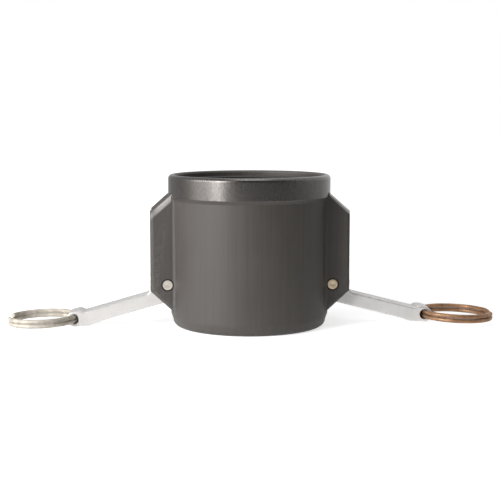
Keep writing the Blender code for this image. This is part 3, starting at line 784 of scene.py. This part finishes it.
def fillet_builder(sizes):
    """The fillet between an ear and the wall, as a strip that is sunk a little into both."""
    sink = 0.00002
    centre_y = sizes.ear_face + sizes.ear_fillet
    centre = (sqrt((sizes.radius + sizes.ear_fillet)**2 - centre_y**2), -centre_y)
    wall_angle = pi - atan2(centre_y, centre[0])
    curve = arc(centre, sizes.ear_fillet + sink, wall_angle, pi / 2, radians(9))
    inside = sizes.ear_face - sizes.ear_slot_edge
    plan = curve + [(centre[0], -inside), (sizes.ear_root, -inside)]
    top = sizes.height - sizes.collar_height + sizes.ear_slot_edge
    return raised(plan, top, slope_planes(sizes, sizes.fillet_rise)[1:])


def mirrored(item, name, scale):
    """A copy of the object, mirrored through the origin's planes, with its faces turned outwards."""
    builder = bmesh.new()
    builder.from_mesh(item.data)
    bmesh.ops.scale(builder, verts=builder.verts, vec=scale)
    bmesh.ops.recalc_face_normals(builder, faces=builder.faces)
    return to_object(name, builder)


class COUPLER_OT_body(bpy.types.Operator):
    """Builds the cast body: turned wall and collar, ears, cam windows and pin holes"""

    bl_idname = "coupler.body"
    bl_label = "Body"

    def execute(self, context):
        sizes = context.scene.coupler_body
        outline, worn = body_outline(sizes)
        body = to_object("casting", turned(outline, sizes.round_steps, worn))
        for builder in (ear_builder(sizes), fillet_builder(sizes)):
            first = to_object("corner", builder)
            corners = [mirrored(first, "corner_copy", (x, y, 1.0)) for x in (1, -1) for y in (1, -1)]
            bpy.data.objects.remove(first, do_unlink=True)
            cut(body, corners, "UNION")
        tools = []
        for side, sign in SIDES:
            window = new_builder()
            low = Vector((sizes.bore_radius - CUT_MARGIN, -sizes.slot_half, sizes.window_bottom))
            high = Vector((sizes.collar_radius + CUT_MARGIN, sizes.slot_half, sizes.window_top))
            place = Matrix.Translation((low + high) / 2) @ Matrix.Diagonal((*(high - low), 1.0))
            bmesh.ops.create_cube(window, size=1.0, matrix=facing(sign) @ place)
            tools.append(to_object("window", window))
            reach = sizes.ear_face + CUT_MARGIN
            hole = rod(sizes.pin_hole, -reach, reach, 48, JOINT_PLACE[side + "_arm_hinge"])
            tools.append(to_object("pin_hole", hole))
        cut(body, tools, "DIFFERENCE")
        finishes = context.scene.coupler_finishes
        seat(body, coat_material(finishes, sizes), "coupler", "body")
        return {"FINISHED"}


class COUPLER_OT_thread(bpy.types.Operator):
    """Winds the pipe thread's ridge round the inside of the mouth"""

    bl_idname = "coupler.thread"
    bl_label = "Mouth thread"

    def execute(self, context):
        body = context.scene.coupler_body
        sizes = context.scene.coupler_thread
        bottom = body.land_top + sizes.root_width / 2
        top = body.height - body.mouth_depth - body.lead_in - sizes.root_width / 2
        turns = (top - bottom) / sizes.pitch
        steps = round(turns * sizes.steps)
        rise = (top - bottom) / steps
        foot = body.root_radius + sizes.embed
        half_foot, half_crest = sizes.root_width / 2, sizes.crest_width / 2
        builder = new_builder()
        face = outline_face(builder, [
            (foot, bottom - half_foot),
            (foot, bottom + half_foot),
            (body.root_radius, bottom + half_foot),
            (sizes.crest_radius, bottom + half_crest),
            (sizes.crest_radius, bottom - half_crest),
            (body.root_radius, bottom - half_foot),
        ])
        spin(builder, [face, *face.edges, *face.verts], turns * tau, steps, rise)
        faded = body.root_radius + sizes.embed / 2
        for vert in builder.verts:
            radius = hypot(vert.co.x, vert.co.y)
            turn = atan2(vert.co.y, vert.co.x) % tau
            level = (vert.co.z - bottom) / sizes.pitch * tau
            along = turn + round((level - turn) / tau) * tau
            share_in = min(1.0, along / sizes.fade, (turns * tau - along) / sizes.fade)
            if radius < faded:
                kept = faded - max(0.0, share_in) * (faded - radius)
                vert.co.x *= kept / radius
                vert.co.y *= kept / radius
        bmesh.ops.recalc_face_normals(builder, faces=builder.faces)
        thread = to_object("mouth_thread", builder)
        seat(thread, bpy.data.materials["Hard coat"], "coupler", None)
        return {"FINISHED"}


class COUPLER_OT_gasket(bpy.types.Operator):
    """Builds the rubber gasket in its groove"""

    bl_idname = "coupler.gasket"
    bl_label = "Gasket"

    def execute(self, context):
        sizes = context.scene.coupler_gasket
        edge, quarter = sizes.edge, pi / 2
        outline = arc((sizes.outer - edge, sizes.top - edge), edge, quarter, 0, radians(18))
        outline += arc((sizes.outer - edge, sizes.bottom + edge), edge, 0, -quarter, radians(18))
        outline += arc((sizes.inner + edge, sizes.bottom + edge), edge, -quarter, -pi, radians(18))
        outline += arc((sizes.inner + edge, sizes.top - edge), edge, pi, quarter, radians(18))
        gasket = to_object("seal", turned(outline, 120))
        seat(gasket, rubber_material(context.scene.coupler_finishes), "coupler", "gasket")
        return {"FINISHED"}


def arm_outline(sizes):
    """The cam arm's side view as (u, v) points: hub, cam lobe, bar, and the thicker end round the eye."""
    hub, lobe = (0.0, 0.0), (0.0, sizes.lobe_reach - sizes.lobe_radius)
    eye = (sizes.eye_distance, sizes.eye_offset)
    shoulder = (sizes.eye_distance - sizes.shoulder_setback, sizes.eye_offset)
    bar_outer = sizes.bar_inner - sizes.bar_thickness
    swell = (sizes.eye_distance - sizes.swell_setback, bar_outer - sizes.swell_depth + sizes.swell_radius)
    eye_radius = sizes.eye_hole + sizes.eye_wall
    flank = pi / 2 - acos((sizes.hub_radius - sizes.lobe_radius) / lobe[1])
    root_height = sizes.bar_inner + sizes.root_fillet
    root = (sqrt((sizes.hub_radius + sizes.root_fillet)**2 - root_height**2), root_height)
    root_angle = atan2(root[1], root[0])
    step_height = sizes.bar_inner + sizes.shoulder_fillet
    step_run = sqrt((sizes.shoulder_radius + sizes.shoulder_fillet)**2 - (step_height - shoulder[1])**2)
    step = (shoulder[0] - step_run, step_height)
    step_angle = atan2(step[1] - shoulder[1], step[0] - shoulder[0])
    outline = arc(root, sizes.root_fillet, -pi / 2, root_angle - pi)
    outline += arc(hub, sizes.hub_radius, root_angle, flank)[1:]
    outline += arc(lobe, sizes.lobe_radius, flank, pi - flank)[1:]
    outline += arc(hub, sizes.hub_radius, pi - flank, sizes.heel_angle + tau)[1:]
    heel_end = outline[-1][0] + sizes.heel_run
    outline += [(heel_end, bar_outer), (swell[0] - sizes.swell_run, bar_outer)]
    swell_start = -pi / 2 - atan2(sizes.swell_depth, sizes.swell_run)
    swell_end = tangent_angle(swell, sizes.swell_radius, eye, eye_radius)
    shoulder_end = tangent_angle(eye, eye_radius, shoulder, sizes.shoulder_radius) % tau
    outline += arc(swell, sizes.swell_radius, swell_start, swell_end)
    outline += arc(eye, eye_radius, swell_end, shoulder_end)
    outline += arc(shoulder, sizes.shoulder_radius, shoulder_end, step_angle)
    outline += arc(step, sizes.shoulder_fillet, step_angle - pi, -pi / 2)[1:]
    return outline


def arm_place(side, sign, sizes):
    """Where the arm's own frame lies: at its pin, turned so that its eye is on the ring's hinge."""
    pin, eye = JOINT_PLACE[side + "_arm_hinge"], JOINT_PLACE[side + "_ring_hinge"]
    drop = atan2(pin.z - eye.z, abs(eye.x - pin.x)) + atan2(sizes.eye_offset, sizes.eye_distance)
    return Matrix.Translation(pin) @ facing(sign) @ Matrix.Rotation(drop, 4, "Y")


def round_holes(builder, centres, half_width, distance):
    """Rounds the rims of the round holes about the given (u, v) centres on both flat sides."""
    rims = []
    for edge in builder.edges:
        flat = all(abs(abs(vert.co.y) - half_width) < HOLE_TOLERANCE for vert in edge.verts)
        for (across, up), radius in centres:
            gaps = [abs(hypot(vert.co.x - across, vert.co.z - up) - radius) for vert in edge.verts]
            if flat and max(gaps) < HOLE_TOLERANCE:
                rims.append(edge)
    bevel(builder, rims, distance, segments=3)


class COUPLER_OT_arms(bpy.types.Operator):
    """Builds the two cam arms"""

    bl_idname = "coupler.arms"
    bl_label = "Cam arms"

    def execute(self, context):
        sizes = context.scene.coupler_arm
        pin_hole = context.scene.coupler_body.pin_hole
        half = sizes.width / 2
        holes = [((0.0, 0.0), pin_hole), ((sizes.eye_distance, sizes.eye_offset), sizes.eye_hole)]
        builder = new_builder()
        face = outline_face(builder, arm_outline(sizes))
        bmesh.ops.translate(builder, verts=builder.verts, vec=(0.0, -half, 0.0))
        extruded(builder, face, (0.0, sizes.width, 0.0))
        bmesh.ops.remove_doubles(builder, verts=builder.verts, dist=MERGE_DISTANCE)
        rims = [edge for edge in builder.edges if abs(edge.verts[0].co.y - edge.verts[1].co.y) < half]
        bevel(builder, rims, sizes.edge, segments=5)
        plain = to_object("arm", builder)
        tools = []
        for (across, up), radius in holes:
            hole = rod(radius, -half - CUT_MARGIN, half + CUT_MARGIN, 40, (across, 0.0, up))
            tools.append(to_object("arm_hole", hole))
        cut(plain, tools, "DIFFERENCE")
        material = arm_material(context.scene.coupler_finishes)
        for side, sign in SIDES:
            builder = bmesh.new()
            builder.from_mesh(plain.data)
            round_holes(builder, holes, half, sizes.hole_edge)
            bmesh.ops.transform(builder, matrix=arm_place(side, sign, sizes), verts=builder.verts)
            arm = to_object(side + "_lever", builder)
            seat(arm, material, side + "_arm", side + "_cam_arm")
        bpy.data.objects.remove(plain, do_unlink=True)
        return {"FINISHED"}


class COUPLER_OT_pins(bpy.types.Operator):
    """Builds the pins, with rounded ends and a shallow mark in the middle of each end"""

    bl_idname = "coupler.pins"
    bl_label = "Pins"

    def execute(self, context):
        sizes = context.scene.coupler_arm
        material = pin_material(context.scene.coupler_finishes, sizes.pin_radius - sizes.pin_edge)
        for side, _ in SIDES:
            builder = rod(sizes.pin_radius, PIN_LOW.y, PIN_HIGH.y, 40)
            bevel(builder, rod_ends(builder)[1], sizes.pin_edge, segments=3)
            around_mark = sizes.pin_radius - sizes.pin_edge - sizes.pin_mark
            for end in rod_ends(builder)[0]:
                inward = -sizes.pin_mark_depth if end.normal.y > 0 else sizes.pin_mark_depth
                for thickness in (around_mark, sizes.pin_mark * 0.5):
                    bmesh.ops.inset_region(builder, faces=[end], thickness=thickness, use_even_offset=True)
                bmesh.ops.translate(builder, verts=list(end.verts), vec=(0.0, inward, 0.0))
            bmesh.ops.translate(builder, verts=builder.verts, vec=JOINT_PLACE[side + "_arm_hinge"])
            pin = to_object(side + "_pivot", builder)
            seat(pin, material, "coupler", side + "_pin")
        return {"FINISHED"}


def ring_builder(sizes, radius):
    """A split ring of two turns about its own middle, wound from one end of the wire to the other."""
    builder = new_builder()
    half_rise = sizes.wire_radius + sizes.turn_gap / 2
    section = bmesh.ops.create_circle(
        builder, cap_ends=True, segments=sizes.section_steps, radius=sizes.wire_radius,
        matrix=Matrix.Translation((radius, 0, -half_rise)) @ Matrix.Rotation(pi / 2, 4, "X"),
    )
    bmesh.ops.rotate(
        builder, verts=section["verts"], cent=(0, 0, 0), matrix=Matrix.Rotation(sizes.start, 3, "Z")
    )
    last = builder.faces[:] + builder.edges[:] + builder.verts[:]
    step = tau / sizes.steps
    flat_steps = round((tau - 2 * sizes.start) / step)
    rise_steps = round(2 * sizes.start / step)
    levels = [(1 - cos(pi * i / rise_steps)) * half_rise for i in range(rise_steps + 1)]
    rises = [(1, after - before) for before, after in zip(levels, levels[1:])]
    for steps, rise in [(flat_steps, 0.0), *rises, (flat_steps, 0.0)]:
        last = spin(builder, last, steps * step, steps, rise)
    bmesh.ops.recalc_face_normals(builder, faces=builder.faces)
    bevel(builder, rod_ends(builder)[1], sizes.end_edge, segments=2)
    return builder


class COUPLER_OT_rings(bpy.types.Operator):
    """Builds the two split pull rings"""

    bl_idname = "coupler.rings"
    bl_label = "Pull rings"

    def execute(self, context):
        sizes = context.scene.coupler_ring
        finishes = context.scene.coupler_finishes
        half_arm = context.scene.coupler_arm.width / 2
        for side, sign in SIDES:
            metal = RING_METALS[side]
            radius, tilt = getattr(sizes, side + "_radius"), getattr(sizes, side + "_tilt")
            reach = (radius + sqrt(radius**2 - half_arm**2)) / 2
            builder = ring_builder(sizes, radius)
            place = Matrix.Translation(JOINT_PLACE[side + "_ring_hinge"]) @ facing(sign)
            place = place @ Matrix.Rotation(tilt, 4, "Y") @ Matrix.Translation((reach, 0, 0))
            bmesh.ops.transform(builder, matrix=place, verts=builder.verts)
            ring = to_object(side + "_split_ring", builder)
            seat(ring, wire_material(finishes, metal), side + "_ring", side + "_pull_ring")
        return {"FINISHED"}


def add_lamp(name, place, size, power):
    """A white area lamp that points at the middle of the coupler."""
    data = bpy.data.lights.new(name, "AREA")
    data.shape = "RECTANGLE"
    data.size, data.size_y = size
    data.energy = power
    lamp = bpy.data.objects.new(name, data)
    bpy.context.scene.collection.objects.link(lamp)
    lamp.location = place
    lamp.rotation_euler = (LAMP_AIM - lamp.location).to_track_quat("-Z", "Y").to_euler()


def floor_material(floor_color):
    """Pale floor that the camera sees as white, with the object's shadow kept near it."""
    finish = Finish("Studio floor")
    set_inputs(finish.shader, {"Base Color": floor_color, "Roughness": 0.9, "Specular IOR Level": 0.1})
    seen, is_mirrored = ray_masks(finish.tree)
    x, y, _ = axes(finish.coords)
    distance = radial(x, y)
    # White far from the object, and less so near it, where the lamps' light and the shadow show.
    white = seen * distance.spread(0.16, 0.42, 0.72, 1.0)
    # In reflections the floor is bright under the object and far off to the right and back.
    near = distance.spread(0.05, 0.22, 0.8, 0.15)
    right_back = (x + y).spread(0.6, 0.9, 0.0, 0.7)
    glow = add_node(finish.tree, "ShaderNodeEmission")
    set_inputs(glow, {"Strength": white.highest(is_mirrored * near.highest(right_back))})
    both = add_node(finish.tree, "ShaderNodeAddShader")
    lights = [Value(finish.tree, node.outputs[0]) for node in (finish.shader, glow)]
    set_inputs(both, dict(enumerate(lights)))
    set_inputs(finish.tree.nodes["Material Output"], {"Surface": Value(finish.tree, both.outputs[0])})
    return finish.material


def build_world():
    """A white background for the camera, and for reflections a studio that is dark towards the camera."""
    world = bpy.data.worlds.new("Studio")
    bpy.context.scene.world = world
    world.use_nodes = True
    tree = world.node_tree
    seen, is_mirrored = ray_masks(tree)
    direction = Value(tree, add_node(tree, "ShaderNodeTexCoord").outputs["Generated"])
    x, y, _ = axes(direction)
    mirrored = y.spread(-0.7, 0.1, 0.02, 1.0) * x.spread(-0.4, 0.3, 0.45, 1.0)
    plain = x.spread(-1.0, 1.0, 0.12, 0.06)
    lit = mirrored * is_mirrored + plain * (1.0 - is_mirrored)
    set_inputs(tree.nodes["Background"], {"Color": (1.0, 1.0, 1.0), "Strength": lit.highest(seen)})


class COUPLER_OT_stage(bpy.types.Operator):
    """Sets the floor, lamps, background and camera"""

    bl_idname = "coupler.stage"
    bl_label = "Stage"

    def execute(self, context):
        settings = context.scene.coupler_stage
        builder = bmesh.new()
        bmesh.ops.create_grid(builder, x_segments=1, y_segments=1, size=settings.floor_size / 2)
        floor = to_object("floor", builder)
        floor.data.materials.append(floor_material(settings.floor_color))
        build_world()
        add_lamp("Key lamp", (-1.29, -0.7, 0.46), (1.5, 1.3), 29.0)
        add_lamp("Strip lamp", (-0.69, -0.65, 0.28), (0.12, 0.6), 4.4)
        add_lamp("Top lamp", (0.0, -0.1, 0.8), (0.4, 0.4), 1.6)
        data = bpy.data.cameras.new("Camera")
        data.lens = settings.lens
        data.sensor_width = 36.0
        data.shift_x = settings.shift
        data.clip_start = 0.01
        data.dof.use_dof = False
        camera = bpy.data.objects.new("Camera", data)
        context.scene.collection.objects.link(camera)
        across, back = sin(settings.turn), cos(settings.turn)
        camera.location = (
            -settings.camera_distance * across, -settings.camera_distance * back, settings.camera_height
        )
        pitch = atan2(settings.camera_height - settings.aim_height, settings.camera_distance)
        camera.rotation_euler = (pi / 2 - pitch, 0.0, -settings.turn)
        context.scene.camera = camera
        context.scene.view_settings.view_transform = "Standard"
        return {"FINISHED"}


OPERATORS = (
    COUPLER_OT_body,
    COUPLER_OT_thread,
    COUPLER_OT_gasket,
    COUPLER_OT_arms,
    COUPLER_OT_pins,
    COUPLER_OT_rings,
    COUPLER_OT_stage,
)

PROPERTY_GROUPS = (
    ("coupler_body", CouplerBodySizes),
    ("coupler_thread", CouplerThreadSizes),
    ("coupler_gasket", CouplerGasketSizes),
    ("coupler_arm", CouplerArmSizes),
    ("coupler_ring", CouplerRingSizes),
    ("coupler_finishes", CouplerFinishes),
    ("coupler_stage", CouplerStageSettings),
)


class COUPLER_PT_panel(bpy.types.Panel):
    """Lists the steps that build the coupler"""

    bl_idname = "COUPLER_PT_panel"
    bl_label = "Cam and groove coupler"
    bl_space_type = "VIEW_3D"
    bl_region_type = "UI"
    bl_category = "Coupler"

    def draw(self, context):
        for operator in OPERATORS:
            self.layout.operator(operator.bl_idname)
        for name, group in PROPERTY_GROUPS:
            box = self.layout.box()
            box.label(text=group.__doc__)
            for key in group.__annotations__:
                box.prop(getattr(context.scene, name), key)


def register():
    for name, group in PROPERTY_GROUPS:
        bpy.utils.register_class(group)
        setattr(bpy.types.Scene, name, PointerProperty(type=group))
    for item in OPERATORS + (COUPLER_PT_panel,):
        bpy.utils.register_class(item)


def unregister():
    for item in reversed(OPERATORS + (COUPLER_PT_panel,)):
        bpy.utils.unregister_class(item)
    for name, group in reversed(PROPERTY_GROUPS):
        delattr(bpy.types.Scene, name)
        bpy.utils.unregister_class(group)


def clear_defaults():
    """Removes whatever Blender's start-up scene holds, apart from the packed frame."""
    for item in list(bpy.data.objects):
        if item.type in {"LIGHT", "CAMERA"} or (item.type == "MESH" and "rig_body" not in item):
            bpy.data.objects.remove(item, do_unlink=True)


def main():
    register()
    clear_defaults()
    bpy.ops.coupler.body()
    bpy.ops.coupler.thread()
    bpy.ops.coupler.gasket()
    bpy.ops.coupler.arms()
    bpy.ops.coupler.pins()
    bpy.ops.coupler.rings()
    bpy.ops.coupler.stage()


if __name__ == "__main__":
    main()
